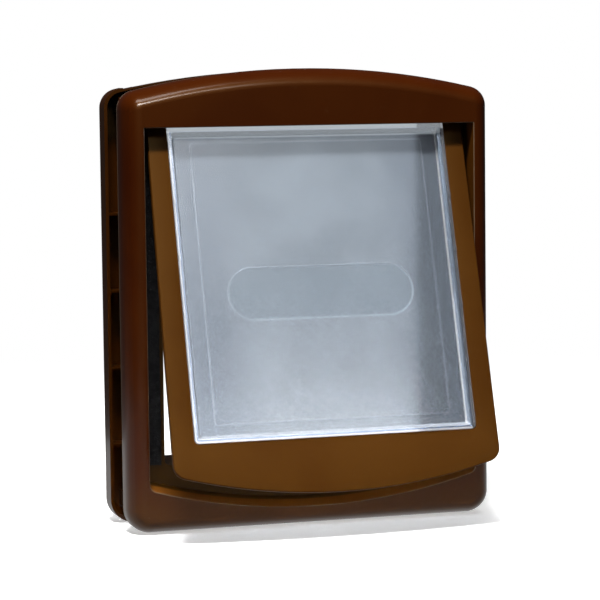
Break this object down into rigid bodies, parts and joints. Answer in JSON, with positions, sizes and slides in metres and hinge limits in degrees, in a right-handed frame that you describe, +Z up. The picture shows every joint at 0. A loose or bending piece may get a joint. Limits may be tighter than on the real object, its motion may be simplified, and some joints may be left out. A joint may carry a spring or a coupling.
{
  "type": "dog door",
  "caption": "Arched brown dog door with a hinged clear flap in a soft surround, and two frames joined by telescoping tunnel halves.",
  "frame": {"origin": "middle of the exterior frame's lower edge, in the plane of its rear rim, which is the outer face of the house door", "axes": "+X to the right seen from outdoors, +Y into the house through the door, +Z up"},
  "size_m": [0.294, 0.1557, 0.352],
  "materials": {
    "frame_plastic": "glossy moulded",
    "clear_plastic": "clear, slightly frosted",
    "soft_surround": "satin flexible",
    "magnet": "matt, flexible magnetic strip",
    "strip_steel": "brushed",
    "pin_steel": "ground",
    "bush_nylon": "matt",
    "pile": "short pile",
    "insert_brass": "plain",
    "screw_zinc": "zinc plated",
    "cap_plastic": "glossy moulded"
  },
  "bodies": {
    "frames": {"exterior_frame": "frame_plastic", "interior_frame": "frame_plastic", "closing_strip": "strip_steel", "hinge_bush_left": "bush_nylon", "hinge_bush_right": "bush_nylon", "weather_strip_left": "pile", "weather_strip_right": "pile", "threaded_insert_1": "insert_brass", "threaded_insert_2": "insert_brass", "threaded_insert_3": "insert_brass", "threaded_insert_4": "insert_brass", "frame_screw_1": "screw_zinc", "frame_screw_2": "screw_zinc", "frame_screw_3": "screw_zinc", "frame_screw_4": "screw_zinc", "screw_cap_1": "cap_plastic", "screw_cap_2": "cap_plastic", "screw_cap_3": "cap_plastic", "screw_cap_4": "cap_plastic"},
    "flap": {"flap_panel": "clear_plastic", "flap_surround": "soft_surround", "flap_magnet": "magnet", "hinge_pin_left": "pin_steel", "hinge_pin_right": "pin_steel"}
  },
  "joints": [
    {"name": "flap_hinge", "type": "hinge", "parent": "frames", "child": "flap", "pos_m": [0, -0.0075, 0.313], "axis": [1, 0, 0], "range_deg": [-48.5, 101.5], "deforming": ["flap_surround"]}
  ]
}
